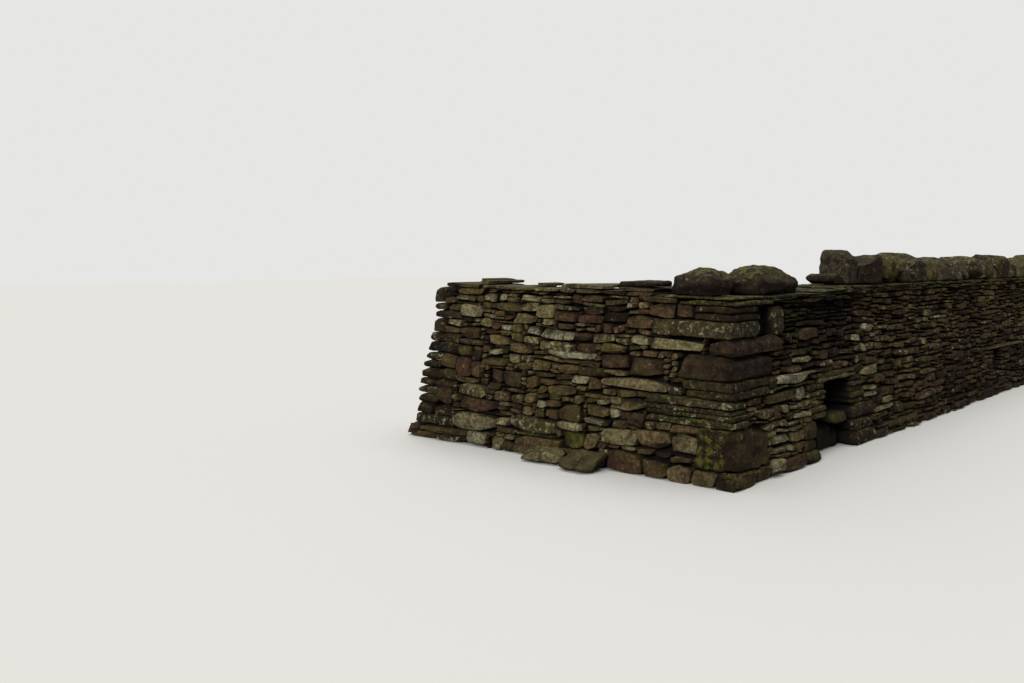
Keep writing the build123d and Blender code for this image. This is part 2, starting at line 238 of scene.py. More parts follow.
class Stonework:
    """Gathers stones and joins them into one piece, with what each stone's surface needs."""

    def __init__(self):
        self.points, self.faces, self.traits, self.count = [], [], [], 0

    def add(self, points, faces, tone, lichen=0.0, moss=0.0, deep=0.0):
        """Adds one stone. Tone picks its colour; lichen, moss and deep may differ by point."""
        points[:, 2] = np.maximum(points[:, 2], 0)
        self.points.append(points)
        self.faces.extend([[index + self.count for index in face] for face in faces])
        traits = np.empty((len(points), len(TRAITS)))
        for column, value in enumerate((tone, lichen, moss, deep)):
            traits[:, column] = value
        self.traits.append(traits)
        self.count += len(points)

    def build(self, name, nodes, material, slot, angle=SMALL_EDGE):
        """Makes the piece and lets it stand for its nodes."""
        mesh = bpy.data.meshes.new(name)
        mesh.from_pydata(np.concatenate(self.points), [], self.faces)
        traits = np.concatenate(self.traits)
        for column, trait in enumerate(TRAITS):
            layer = mesh.attributes.new(trait, "FLOAT", "POINT")
            layer.data.foreach_set("value", np.ascontiguousarray(traits[:, column], np.float32))
        piece = bpy.data.objects.new(name, mesh)
        bpy.context.scene.collection.objects.link(piece)
        mesh.materials.append(bpy.data.materials[material])
        only(piece)
        bpy.ops.object.shade_smooth_by_angle(angle=math.radians(angle))
        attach(piece, "root")
        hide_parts(*nodes)


# ---- small stones, modelled once


# Corners broken off each modelled stone, the planes across its front, and how many are modelled
CHIPS, CRACKS, MODELS = 7, 4, 16
# Seeds of the noise on one stone are below this
SEEDS = 9999


def model_stone(number, all_round):
    """Models a stone that fills a unit cube: broken along its edges, its front in a few planes."""
    rng = random.Random(100 * number + all_round)
    bpy.ops.mesh.primitive_cube_add(size=1)
    stone = bpy.context.object
    mesh = stone.data
    only(stone)
    bpy.ops.object.mode_set(mode="EDIT")
    for chip in range(CHIPS):
        aim = Vector((rng.uniform(-1, 1), rng.uniform(-1, 1 if all_round else 0.1), rng.uniform(-1, 1)))
        weakest = min(range(3), key=lambda axis: abs(aim[axis]))
        aim[weakest] *= 0.3
        aim.normalize()
        reach = 0.5 * sum(abs(part) for part in aim) - rng.uniform(0.05, 0.19)
        cut_off(aim * reach, aim)
    bpy.ops.mesh.select_all(action="SELECT")
    bpy.ops.mesh.remove_doubles(threshold=0.03)
    pick(mesh, "edges", lambda edge: all_round or (edge.verts[0].co.y + edge.verts[1].co.y) / 2 < 0.2)
    bpy.ops.mesh.bevel(offset=0.022, segments=1, affect="EDGES", clamp_overlap=True)
    for crack in range(CRACKS):
        pick(mesh, "faces", lambda face: all_round or face.normal.y < -0.4)
        middle = (rng.uniform(-0.3, 0.3), -0.5, rng.uniform(-0.3, 0.3))
        turn = math.pi * (crack + rng.random()) / CRACKS
        bpy.ops.mesh.bisect(plane_co=middle, plane_no=(math.sin(turn), 0, math.cos(turn)))
    worked = bmesh.from_edit_mesh(mesh)
    for vertex in worked.verts:
        if all(face.normal.y < -0.7 for face in vertex.link_faces):
            vertex.co.y -= rng.uniform(-0.03, 0.07)
    bmesh.update_edit_mesh(mesh)
    bpy.ops.object.mode_set(mode="OBJECT")
    return take_mesh(stone)


SHAPES = {}


def shapes(kind):
    """The modelled stones: face stones are worked at the front, flags all round."""
    if kind not in SHAPES:
        SHAPES[kind] = [model_stone(number, kind == "flag") for number in range(MODELS)]
    return SHAPES[kind]


def lay(rng, kind, centre, axes, size, tilt=0.0, turn=0.0, taper=0.3):
    """A copy of a modelled stone in its slot, with its own tapers, skew and lumps."""
    points, faces = rng.choice(shapes(kind))
    points = points.copy()
    if rng.random() < 0.5:
        points[:, 0] *= -1
        points[:, 2] *= -1
    x, z = points[:, 0], points[:, 2]
    ends = [rng.random() ** 2 * taper * 2 for end in range(4)]
    end = np.where(z > 0, np.where(x < 0, ends[0], ends[1]), np.where(x < 0, ends[2], ends[3]))
    points[:, 2] = z * (1 - end * np.abs(2 * x) ** 1.5)
    points[:, 0] += rng.uniform(-0.35, 0.35) * z * min(1.0, size[2] / size[0])
    lumps = points * [1.6, 1.2, 1.2] + rng.uniform(0, 500)
    seed = rng.randrange(SEEDS)
    for axis, amount in enumerate((0.05, 0.06, 0.10)):
        points[:, axis] += amount * value_noise(lumps, seed + axis)
    points *= size
    x, y, z = points.T.copy()
    points[:, 0] = x * math.cos(tilt) - z * math.sin(tilt)
    points[:, 2] = x * math.sin(tilt) + z * math.cos(tilt)
    points[:, 1] = y + x * math.sin(turn)
    return points @ np.array(axes) + np.array(centre), faces


def runs(rng, start, end, shortest, longest, least):
    """Shares out a length among stones: where each starts and its length. None is shorter than least."""
    while start < end - 0.01:
        length = min(rng.uniform(shortest, longest), end - start)
        if end - start - length < least:
            length = end - start
        yield start, length
        start += length


# ---- big stones, weathered from the frame

# Relief of a weathered stone: its lumps, how many to a metre and how strong, and its beds each way
LUMPS = ((7, 0.8), (17, 0.6), (38, 0.35))
BEDS = (2, 2, 26)
# The mesh of a stone has at least this many cells across its thinnest side
LEAST_CELLS = 3.2


def weather(solid, rng, gap=0.004, chips=9, bite=0.3, relief=0.008, cuts=(), grit=None, wear=2):
    """Makes a rough stone of a plain solid: cut, shrunk for its joints, chipped, worn and lumpy."""
    sizes = bpy.context.scene.wall_sizes
    points, faces = solid
    mesh = bpy.data.meshes.new("stone")
    mesh.from_pydata(points, [], faces)
    stone = bpy.data.objects.new("stone", mesh)
    bpy.context.scene.collection.objects.link(stone)
    only(stone)
    bpy.ops.object.mode_set(mode="EDIT")
    for place, normal in cuts:
        cut_off(place, normal)
    bpy.ops.object.mode_set(mode="OBJECT")
    corners = np.array([vertex.co for vertex in mesh.vertices])
    low, high = corners.min(axis=0), corners.max(axis=0)
    centre, size = (low + high) / 2, high - low
    shrink = Matrix.Diagonal((*((size - 2 * gap) / size), 1))
    mesh.transform(Matrix.Translation(centre) @ shrink @ Matrix.Translation(-centre))
    corners = (corners - centre) * (size - 2 * gap) / size
    bpy.ops.object.mode_set(mode="EDIT")
    for chip in range(chips):
        aim = np.array([rng.uniform(-1, 1), rng.uniform(-1, 1), rng.uniform(-0.45, 1)])
        aim[np.argmin(abs(aim))] *= 0.35
        aim /= size ** 0.5
        aim /= np.linalg.norm(aim)
        reach = (corners @ aim).max() - rng.uniform(0.2, 1.0) * bite * size.min()
        cut_off(centre + aim * reach, aim)
    bpy.ops.object.mode_set(mode="OBJECT")
    rough = stone.modifiers.new("Rough", "REMESH")
    rough.mode = "VOXEL"
    rough.voxel_size = min(grit or sizes.grit, size.min() / LEAST_CELLS)
    worn = stone.modifiers.new("Worn", "SMOOTH")
    worn.iterations = wear
    bpy.ops.object.modifier_apply(modifier="Rough")
    bpy.ops.object.modifier_apply(modifier="Worn")
    normals = np.array([vertex.normal for vertex in mesh.vertices])
    points, faces = take_mesh(stone)
    seed = rng.randrange(SEEDS)
    beds = value_noise(points * BEDS, seed)
    lumps = sum(strength * value_noise(points * often, seed + number)
                for number, (often, strength) in enumerate(LUMPS, 1))
    side = 1 - np.abs(normals[:, 2])
    points += normals * (relief * (0.7 * lumps + 0.6 * beds * side))[:, None]
    return points, faces


# ---- the faces of the arms


class Face:
    """One leaning face of an arm: u runs along it to the right, z up, and depth into the wall."""

    def __init__(self, along, inward):
        self.along, self.inward = np.array(along, float), np.array(inward, float)
        self.axes = [self.along, self.inward, np.array([0, 0, 1.0]) + self.inward * BATTER]

    def place(self, u, z, depth):
        """The point at a place along, a level and a depth behind the face."""
        return self.along * u + self.inward * (depth + BATTER * z - HALF) + np.array([0, 0, z])

    def span(self, low, high):
        """Where a box lies along the face, and how far behind it the box starts."""
        ends = sorted((float(self.along @ low), float(self.along @ high)))
        front = min(float(self.inward @ low), float(self.inward @ high))
        return ends[0], ends[1], front + HALF - BATTER * (low[2] + high[2]) / 2


def boxes(node):
    """Lowest and highest corner of each solid of a node."""
    return [(points.min(axis=0), points.max(axis=0)) for points, faces in solids(node)]


def blocks_on(face, extra):
    """Rectangles of a face that built stones take up: from, to, bottom, top."""
    found = list(extra)
    for node in KEY_STONES:
        for low, high in boxes(node):
            start, end, depth = face.span(low, high)
            if depth < 0.05:
                found.append((start + 0.012, end - 0.012, low[2], high[2]))
    return found


def hole_blocks(face):
    """The creep hole's own opening, between the jambs and under the lintels."""
    middle = JOINT_X - 0.1
    lows, highs = boxes("jambs_lower"), boxes("jambs_upper")
    found = []
    for pair in (lows, highs):
        left = max(high[0] for low, high in pair if low[0] < middle)
        right = min(low[0] for low, high in pair if high[0] > middle and low[0] > left)
        top = max(high[2] for low, high in pair)
        start, end = sorted((float(face.along[0]) * left, float(face.along[0]) * right))
        found.append((start, end, -0.1, min(top, min(low[2] for low, high in lows) + top)))
    return found


# Packing a face: the width of its columns, how near an end a built stone fills the face up to it, how
# far a bed runs in under a built stone, how near two tops make one bed, and the smallest place filled
COLUMN, END_ROOM, TUCK, ONE_BED, LEAST_HEIGHT, LEAST_LENGTH = 0.008, 0.2, 0.012, 0.007, 0.012, 0.02
# In columns: how near one joint is to another, how far it moves from it, and the least stone it leaves
NEAR, SHIFT, LEAST_LEFT = 4, 6, 8


def pack_face(span, top, blocks, rng, sizes, scale, squat):
    """Lays stones on the lowest place of a face until it is full, joints crossed, as a waller does.
    Squat is the share of short, thick stones among the long, thin ones."""
    columns = int((span[1] - span[0]) / COLUMN)
    level = np.zeros(columns)
    owner = np.zeros(columns, int)
    cells = []
    for start, end, low, high in blocks:
        if end < span[0] or start > span[1]:
            continue
        first = 0 if start - span[0] < END_ROOM else math.ceil((start - span[0]) / COLUMN - 0.3)
        last = columns if span[1] - end < END_ROOM else math.floor((end - span[0]) / COLUMN + 0.3)
        if first < last:
            cells.append((first, last, low, high))
    laid = []

    def settle():
        moved = True
        while moved:
            moved = False
            for first, last, low, high in cells:
                part = level[first:last]
                under = (part > low - TUCK) & (part < high - 1e-6)
                if under.any():
                    part[under] = high
                    moved = True

    settle()
    while True:
        first = last = int(level.argmin())
        base = level[first]
        if base > top - TUCK:
            return laid
        while first > 0 and abs(level[first - 1] - base) < ONE_BED:
            first -= 1
        while last < columns - 1 and abs(level[last + 1] - base) < ONE_BED:
            last += 1
        last += 1
        base = level[first:last].max()
        width = (last - first) * COLUMN
        share = min(1.0, base / top)
        thick = sizes.thickest * scale * (1.25 - 0.45 * share)
        height = sizes.thinnest + (thick - sizes.thinnest) * rng.random() ** (1.7 - squat + share)
        if rng.random() < squat:
            length = height * rng.uniform(1.1, 2.6)
        else:
            length = height * rng.uniform(2.2, 6.5)
        length = min(sizes.longest * scale, max(sizes.shortest, length))
        if width - length < sizes.shortest:
            length = width if width < sizes.longest * 1.2 else width / 2
        if rng.random() < 0.5:
            start, stop = first, first + max(1, round(length / COLUMN))
        else:
            start, stop = last - max(1, round(length / COLUMN)), last
        start, stop = max(start, first), min(stop, last)
        # A joint that would stand over another moves aside
        edge = stop if start == first else start
        near = owner[max(edge - NEAR, 0):edge + NEAR]
        if 1 < edge < columns - 2 and first < edge < last and near.min() != near.max():
            shift = rng.choice((-SHIFT, SHIFT))
            if start == first and first + LEAST_LEFT < stop + shift < last:
                stop += shift
            elif stop == last and first < start + shift < last - LEAST_LEFT:
                start += shift
        room = top - base
        for block_first, block_last, low, high in cells:
            if block_first < stop and block_last > start and low > base - 1e-6:
                overlap = min(stop, block_last) - max(start, block_first)
                if low - base < height and overlap < (stop - start) * 0.5 and overlap * COLUMN < 0.12:
                    if block_first > start:
                        stop = max(start + 1, block_first)
                    else:
                        start = min(stop - 1, block_last)
                else:
                    room = min(room, low - base)
        sides = [level[place] - base for place in (start - 1, stop) if 0 <= place < columns]
        sides = [rise for rise in sides if sizes.thinnest < rise < thick * 1.1]
        if sides and rng.random() < 0.45:
            height = rng.choice(sides)
        length = (stop - start) * COLUMN
        if length < 0.05:
            height = min(sides + [length * 1.6 + 0.01])
        height = min(height, max(0.75 * length, sizes.thinnest))
        if room - height < sizes.thinnest:
            height = room if room < thick * 1.25 else room / 2
        height = min(height, room)
        if height < LEAST_HEIGHT or length < LEAST_LENGTH:
            level[start:stop] = base + max(height, LEAST_HEIGHT)
            settle()
            continue
        laid.append((span[0] + (start + stop) / 2 * COLUMN, base + height / 2, length, height))
        owner[start:stop] = len(laid)
        level[start:stop] = base + height
        settle()


def wander(u, z, top, blocks, sizes, seed):
    """How far the stone at each place is carried along and up. Built stones hold the beds still."""
    calm, still = smooth_step(top - z, 0.02, 0.25), smooth_step(top - z, 0.0, 0.06)
    calm = np.minimum(calm, smooth_step(z, 0.02, 0.3))
    for start, end, low, high in blocks:
        away = np.maximum.reduce([start - u, u - end, low - z, z - high])
        calm = np.minimum(calm, smooth_step(away, 0.0, 0.22))
        still = np.minimum(still, smooth_step(away, -0.02, 0.06))
    rise = sizes.sway * calm * plane_noise(u * 1.1, z * 1.6, seed)
    rise += sizes.ruck * still * plane_noise(u * 6.0, z * 9.0, seed + 1)
    return sizes.ruck * still * plane_noise(u * 7.0, z * 9.0, seed + 2), rise


# Patches of the faces that differ from the rest: centre, radius, tone, lichen, moss
PATCHES = [
    ((-0.33, -0.33, 0.25), 0.45, -0.02, 0.10, 0.55),
    ((0.55, -0.30, 0.50), 0.60, 0.10, 0.22, 0.12),
    ((-0.33, 0.60, 0.30), 0.55, 0.06, 0.12, 0.20),
    ((-0.25, 1.20, 0.95), 0.45, 0.05, 0.30, 0.00),
    ((2.40, -0.25, 0.85), 0.45, 0.12, 0.35, 0.02),
    ((3.60, -0.30, 0.60), 0.80, 0.08, 0.12, 0.10),
    ((0.70, -0.22, 1.05), 0.55, -0.40, -0.25, 0.00),
    ((1.60, -0.22, 1.05), 0.50, -0.30, -0.20, 0.00),
    ((-0.33, 2.20, 0.20), 0.50, 0.15, 0.10, 0.00),
]


def character(rng, point, at_foot=False):
    """Tone, lichen and moss of a stone at a place. On the long arm's outer face the stones darken towards
    the foot, splashed mud together with painted shade, and the foot stones elsewhere are darker. Those
    beside the corner, under its boulders, are darkened and bare of lichen: painted shade."""
    tone, lichen, moss = rng.random() * 0.92, rng.random() ** 2 * 0.7, rng.random() ** 3 * 0.3
    # Splashed mud together with painted shade: the long arm's outer face darkens towards its foot
    if point[1] < 0 and point[0] > JOINT_X:
        tone *= 0.24 + 0.64 * float(smooth_step(point[2], 0.1, 0.9))
    elif at_foot:
        tone *= 0.5
    # Painted shade: stones under the corner's boulders are darkened and left without lichen
    elif point[1] < 0 and point[2] > 0.76 and 0.2 < point[0] < JOINT_X:
        tone, lichen = tone * 0.3, 0
    for centre, radius, tone_shift, more_lichen, more_moss in PATCHES:
        share = float(smooth_step(1 - math.dist(point, centre) / radius, 0, 0.7))
        tone += tone_shift * share
        lichen += more_lichen * share
        moss += more_moss * share
    return min(max(tone, 0.0), 1.0), lichen, moss


def node_at(point, names):
    """The lift whose box holds a point, or is nearest to it."""
    def distance(name):
        low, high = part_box(name)
        return math.dist(point, [min(max(point[axis], low[axis]), high[axis]) for axis in range(3)])
    return min(names, key=distance)


# Stones that the eye finds first, by face: from and to along it, bottom and top, in millimetres, then
# tone, lichen and moss, in hundredths. A tone is a place on the walling's colour ramp: 0 darkest,
# 33 plum, 56 olive, 78 tan, 100 palest.
LANDMARKS = {
    "front": [
        (-678, -174, 552, 645, 84, 30, 0), (-370, 40, 833, 925, 88, 50, 0),
        (-735, -518, 685, 775, 16, 10, 0), (-505, -225, 655, 779, 12, 25, 0),
        (-1285, -995, 839, 923, 98, 35, 30), (-990, -830, 855, 924, 67, 10, 0),
        (-824, -636, 853, 928, 86, 20, 30), (-1168, -960, 985, 1061, 34, 0, 0),
        (-942, -756, 990, 1052, 36, 0, 0), (-745, -564, 999, 1076, 4, 0, 10),
        (-382, -178, 1056, 1150, 67, 15, 0), (-1214, -777, 728, 780, 98, 35, 0),
        (-2050, -1613, 108, 241, 90, 10, 10), (-2047, -1739, 364, 461, 56, 70, 0),
        (-1001, -807, 99, 222, 60, 10, 120), (-679, -371, 178, 290, 86, 35, 10),
        (-1891, -1695, 0, 110, 96, 10, 30), (-1550, -1329, 948, 1030, 60, 50, 0),
        (-1520, -1300, 1102, 1160, 95, 50, 0), (-1838, -1730, 1090, 1160, 92, 50, 0),
        (-1712, -1625, 1100, 1160, 98, 50, 0), (-814, -627, 342, 430, 60, 30, 40),
        (-1512, -1385, 352, 440, 56, 60, 0), (-1376, -1262, 385, 464, 78, 10, 0),
        (-969, -826, 545, 615, 95, 45, 0), (-543, -350, 405, 503, 78, 45, 0),
        (-2050, -1925, 512, 645, 36, 5, 0), (-1920, -1820, 520, 640, 67, 10, 0),
        (-2050, -1860, 799, 900, 40, 10, 0), (-1430, -1015, 0, 140, 48, 15, 0),
        (-600, -334, 0, 140, 30, 15, 20), (-1174, -923, 452, 528, 62, 15, 0),
        (-1083, -833, 224, 285, 92, 20, 0), (-830, -680, 293, 336, 95, 20, 0),
        (-1261, -1163, 359, 412, 100, 80, 0), (-1407, -1292, 860, 939, 98, 80, 0),
        (-1454, -1292, 799, 856, 50, 90, 0), (-1746, -1627, 692, 740, 96, 50, 0),
        (-1651, -1550, 880, 938, 100, 30, 0), (-1761, -1485, 1036, 1090, 58, 10, 0),
        (-943, -760, 1130, 1185, 60, 30, 30), (-1458, -1321, 611, 666, 80, 20, 0),
        (-2011, -1619, 256, 356, 34, 10, 0), (-798, -699, 93, 248, 78, 25, 0),
        (-1660, -1528, 0, 90, 90, 45, 0), (-1605, -1418, 469, 580, 8, 10, 0), (-130, 40, 0, 110, 80, 30, 0),
        (50, 235, 0, 100, 78, 30, 20), (240, 378, 0, 106, 5, 0, 40),
    ],
    "outer": [
        (361, 860, 580, 665, 100, 10, 10), (660, 870, 455, 555, 100, 15, 50),
        (650, 1020, 714, 760, 98, 35, 0), (180, 610, 467, 550, 60, 30, 50), (618, 870, 340, 385, 95, 35, 0),
        (528, 727, 294, 335, 100, 55, 0), (223, 525, 192, 272, 100, 40, 0), (165, 340, 0, 125, 92, 20, 0),
        (192, 472, 140, 184, 96, 35, 0), (348, 740, 0, 98, 34, 0, 0), (535, 750, 170, 262, 82, 20, 0),
        (1912, 1980, 709, 790, 100, 60, 0), (1990, 2083, 715, 785, 92, 60, 0),
        (1820, 1910, 640, 705, 100, 85, 0), (1960, 2270, 530, 615, 86, 10, 0),
        (1955, 2188, 404, 456, 90, 20, 0), (1955, 2202, 353, 397, 100, 25, 0),
        (2140, 2600, 208, 250, 90, 10, 0), (2361, 2660, 258, 315, 88, 20, 0),
        (2023, 2238, 866, 934, 100, 60, 10), (1775, 2006, 807, 859, 100, 60, 10),
        (804, 1146, 874, 965, 32, 0, 0), (2367, 2581, 879, 929, 86, 25, 0),
        (3000, 3250, 545, 610, 86, 10, 0), (2280, 2700, 520, 575, 80, 10, 0),
        (5450, 7050, 480, 533, 84, 20, 20), (3900, 4250, 905, 940, 100, 40, 0),
    ],
}


def dress_face(works, face, span, top, extra, rng, sizes, scale, squat, marks=()):
    """Packs a face with stones round its marked ones and hands each to the lift that it belongs to."""
    blocks = blocks_on(face, extra)
    seed = rng.randrange(SEEDS)
    marks = [(*[edge / 1000 for edge in mark[:4]], *[look / 100 for look in mark[4:]]) for mark in marks]
    rooms = blocks + [mark[:4] for mark in marks]
    stones = [(*stone, None) for stone in pack_face(span, top, rooms, rng, sizes, scale, squat)]
    for start, end, low, high, *looks in marks:
        stones.append(((start + end) / 2, (low + high) / 2, end - start, high - low, looks))
    laid = []
    joint, unevenness = sizes.joint / scale ** 1.8, sizes.unevenness / scale
    for u, z, length, height, looks in stones:
        proud = unevenness * (rng.gauss(0, 0.6) + 0.8 * float(plane_noise(u * 1.4, z * 1.7, seed + 5)[0]))
        if z < FOOTING_TOP:
            proud += FOOTING_OUTSET * 0.8
        if height < 0.035:
            proud -= 0.006
        depth = min(sizes.skin * rng.uniform(0.75, 1.2), HALF - BATTER * z - 0.01)
        centre = face.place(u, z, depth / 2 - proud)
        size = (length * rng.uniform(0.99, 1.05) - joint, depth,
                height * rng.uniform(0.98, 1.10) - joint * 0.8)
        tilt = rng.gauss(0, 0.045) * min(1.0, 0.1 / length)
        points, faces = lay(rng, "face", centre, face.axes, size, tilt, rng.gauss(0, 0.05))
        laid.append((points, faces, centre, looks or character(rng, face.place(u, z, 0), z < FOOTING_TOP)))
    every = np.concatenate([points for points, *rest in laid])
    along, rise = wander(every @ face.along, every[:, 2], top, blocks, sizes, seed)
    every += np.outer(along, face.along) + np.outer(rise, face.axes[2])
    inside = (every - face.place(0, 0, 0)) @ face.inward - BATTER * every[:, 2]
    # Painted shade with dirt: each stone darkens where it lies back behind the face, into its joints
    deep = smooth_step(inside, 0.003, 0.036)
    first = 0
    for points, faces, centre, (tone, lichen, moss) in laid:
        part = slice(first, first + len(points))
        foot = centre[2] < FOOTING_TOP * 0.9
        names = [name for name in LIFTS if name.startswith("footing_") == foot]
        works[node_at(centre, names)].add(every[part], faces, tone, lichen, moss, deep[part])
        first += len(points)


# A point this near a face or an arm's end lies on it. Hearting stays so far behind a face and an end
ON_FACE, BEHIND_FACE, BEHIND_END = 0.03, 0.075, 0.09


def hearting(node):
    """The small stone that fills a lift: the lift's own solids, drawn in behind the face stones."""
    for points, faces in solids(node):
        half = HALF - BATTER * points[:, 2]
        for axis in (0, 1):
            for side in (-1, 1):
                near = np.abs(side * points[:, axis] - half) < ON_FACE
                points[near, axis] = side * (half[near] - BEHIND_FACE)
        if node.startswith("footing_"):
            for axis, end in ((0, FAR_END), (1, GATE_END)):
                near = np.abs(points[:, axis] - end) < ON_FACE
                points[near, axis] = end - BEHIND_END
        yield points, faces


def close_footing(work, rng, face, end, sizes):
    """Lays the foot stones that show on the end of an arm, where the face looks out of that end."""
    start = face.place(0, 0, 0) + face.inward * (HALF - end)
    for place, length in runs(rng, -HALF, HALF, 0.13, 0.26, 0.09):
        centre = start + face.along * (place + length / 2) + np.array([0, 0, FOOTING_TOP / 2])
        centre += face.inward * (sizes.skin / 2 - FOOTING_OUTSET * rng.uniform(0.3, 0.7))
        size = (length - sizes.joint, sizes.skin, FOOTING_TOP - sizes.joint * 0.5)
        points, faces = lay(rng, "face", centre, face.axes, size, rng.gauss(0, 0.02), rng.gauss(0, 0.04))
        # Painted shade with dirt: each foot stone darkens where it lies back behind the end, into its
        # joints
        deep = smooth_step((points - start) @ face.inward, 0.01, 0.05)
        work.add(points, faces, *character(rng, centre, True), deep)


class WALL_OT_walling(bpy.types.Operator):
    """Lay the face stones of both arms over their hearting, one piece to each lift"""

    bl_idname = "wall.walling"
    bl_label = "Lay the walling"

    def execute(self, context):
        sizes = context.scene.wall_sizes
        works = {name: Stonework() for name in LIFTS}
        outer = Face((1, 0, 0), (0, 1, 0))
        inner = Face((-1, 0, 0), (0, -1, 0))
        front = Face((0, -1, 0), (1, 0, 0))
        behind = Face((0, 1, 0), (-1, 0, 0))
        inner_top = HALF - BATTER * COVER_BED
        corner_top = (FLAG_BED, 9.0)
        dress_face(works, outer, (-HALF, FAR_END), COVER_BED,
                   [(-HALF, JOINT_X, *corner_top), UPRIGHT_ROOM, SLOT_ROOM] + hole_blocks(outer),
                   random.Random(sizes.seed), sizes, 0.76, 0.16, LANDMARKS["outer"])
        dress_face(works, inner, (-FAR_END, -inner_top), COVER_BED,
                   [(-JOINT_X, HALF, *corner_top)] + hole_blocks(inner),
                   random.Random(sizes.seed + 1), sizes, 0.84, 0.16)
        dress_face(works, front, (-GATE_END, HALF), COVER_BED,
                   [(-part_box("corner_flag")[1].y, HALF, *corner_top)],
                   random.Random(sizes.seed + 2), sizes, 1.16, 0.42, LANDMARKS["front"])
        dress_face(works, behind, (inner_top, GATE_END), COVER_BED, [],
                   random.Random(sizes.seed + 3), sizes, 1.1, 0.3)
        rng = random.Random(sizes.seed + 4)
        close_footing(works["footing_front"], rng, inner, GATE_END, sizes)
        close_footing(works["footing_long"], rng, behind, FAR_END, sizes)
        for name, work in works.items():
            for points, faces in hearting(name):
                # The hearting is painted near black all over (deep of 1): painted shade where it shows
                # between the face stones
                work.add(points, faces, 0.1, 0, 0, 1.0)
            work.build(name + "_stones", [name], WALLING, "face_stone")
        return {"FINISHED"}


def split(solid, rng, layer, across=None):
    """Breaks a solid along its bed: a list of cutting planes for each layer of about that thickness.
    Across is the axis along which most layers are broken in two once more."""
    low, high = solid[0][:, 2].min(), solid[0][:, 2].max()
    layers = max(1, round((high - low) / layer * rng.uniform(0.8, 1.2)))
    levels = [low]
    for part in range(layers - 1):
        levels.append(levels[-1] + (high - levels[-1]) / (layers - part) * rng.uniform(0.75, 1.25))
    levels.append(high)
    parts = []
    for bottom, top in zip(levels, levels[1:]):
        bed = [((0, 0, bottom), (0, 0, -1)), ((0, 0, top), (0, 0, 1))]
        if across is None or rng.random() < 0.25:
            parts.append(bed)
            continue
        place, normal = np.array([0, 0, (bottom + top) / 2]), np.array([0, 0, rng.uniform(-0.5, 0.5)])
        ends = solid[0][:, across]
        place[across], normal[across] = ends.min() + np.ptp(ends) * rng.uniform(0.32, 0.68), 1
        parts += [bed + [(place, normal)], bed + [(place, -normal)]]
    return parts


def big_stones(node, rng, tones, lichen, moss, material, slot, shade=0.0, reach=0.11, layer=9.0,
               across=None, slide=0.0, **how):
    """Weathers each solid of a node, split into stones that slide a little, and joins them into one
    piece. Shade dulls what lies inside the wall."""
    work = Stonework()
    for number, solid in enumerate(solids(node)):
        for cuts in split(solid, rng, layer, across):
            points, faces = weather(solid, rng, cuts=cuts, **how)
            points[:, :2] += [rng.uniform(-slide, slide), rng.uniform(-slide, slide)]
            deep = shade * smooth_step(depth_inside(points), 0.0, reach)
            tone = tones[number % len(tones)] + rng.uniform(-0.2, 0.2)
            work.add(points, faces, min(max(tone, 0), 1), lichen * rng.uniform(0.2, 1.8), moss, deep)
    work.build(node + "_stones", [node], material, slot, BIG_EDGE)


# The corner stones from the bottom up: layer thickness, tone, lichen, moss
QUOINS = [
    (0.036, 0.62, 0.50, 0.35),
    (0.070, 0.50, 0.30, 0.30),
    (0.200, 0.22, 0.05, -0.30),
    (0.120, 0.26, 0.10, -0.30),
    (0.120, 0.72, 0.50, 0.05),
    (0.060, 0.16, 0.00, 0.10),
]
# Room left on the long face beside the top quoins, and the stone that stands upright in it
UPRIGHT_ROOM = (0.19, 0.60, 0.945, 1.15)
UPRIGHT = ((0.480, 1.042), (0.20, 0.20))
# A dark slot low in the fourth bay, under a long thin stone
SLOT_ROOM = (5.83, 6.15, 0.245, 0.475)


class WALL_OT_corner(bpy.types.Operator):
    """Set the outer corner: the mossy base boulder, the quoins and the flag on top"""

    bl_idname = "wall.corner"
    bl_label = "Set the corner stones"

    def execute(self, context):
        rng = random.Random(context.scene.wall_sizes.seed + 20)
        work = Stonework()
        points, faces = weather(solids("corner_base_boulder")[0], rng, chips=10, bite=0.2, relief=0.018,
                                grit=0.012, wear=1)
        work.add(points, faces, 0.15, 0.15, 0.95 - 1.3 * smooth_step(points[:, 0], -0.36, -0.24))
        work.build("corner_base_boulder_stones", ["corner_base_boulder"], QUOIN, "large_stone", BIG_EDGE)
        for odd, node in enumerate(("quoins_front", "quoins_return")):
            work = Stonework()
            for number, solid in enumerate(sorted(solids(node), key=lambda one: one[0][:, 2].min())):
                layer, tone, lichen, moss = QUOINS[2 * number + odd]
                for cuts in split(solid, rng, layer):
                    ends = Vector((solid[0][:, 0].max() - rng.uniform(0, 0.04),
                                   solid[0][:, 1].max() - rng.uniform(0, 0.03), cuts[0][0][2]))
                    cuts += [(ends, (1, 0, rng.uniform(-0.2, 0.2))),
                             (ends, (0, 1, rng.uniform(-0.2, 0.2)))]
                    points, faces = weather(solid, rng, cuts=cuts, gap=0.004, bite=0.3, relief=0.009,
                                            grit=0.010, wear=1)
                    points[:, :2] += [rng.uniform(-0.008, 0.012), rng.uniform(-0.008, 0.012)]
                    work.add(points, faces, tone + rng.uniform(-0.1, 0.1), lichen, moss)
            if odd:
                (along, level), (length, height) = UPRIGHT
                face = Face((1, 0, 0), (0, 1, 0))
                points, faces = lay(rng, "face", face.place(along, level, 0.07), face.axes,
                                    (length, 0.15, height), 0.03, 0.1, 0.1)
                # Painted shade: the upright darkens behind the face, so its side in the gap beside the
                # quoins reads black
                work.add(points, faces, 0.5, 0.5, 0.0, smooth_step(depth_inside(points), 0.0, 0.03))
            work.build(node + "_stones", [node], QUOIN, "quoin_stone", BIG_EDGE)
        big_stones("corner_flag", rng, [0.5], 0.3, 0.5, QUOIN, "flag_stone", layer=0.032, slide=0.02,
                   bite=0.6, grit=0.012)
        return {"FINISHED"}


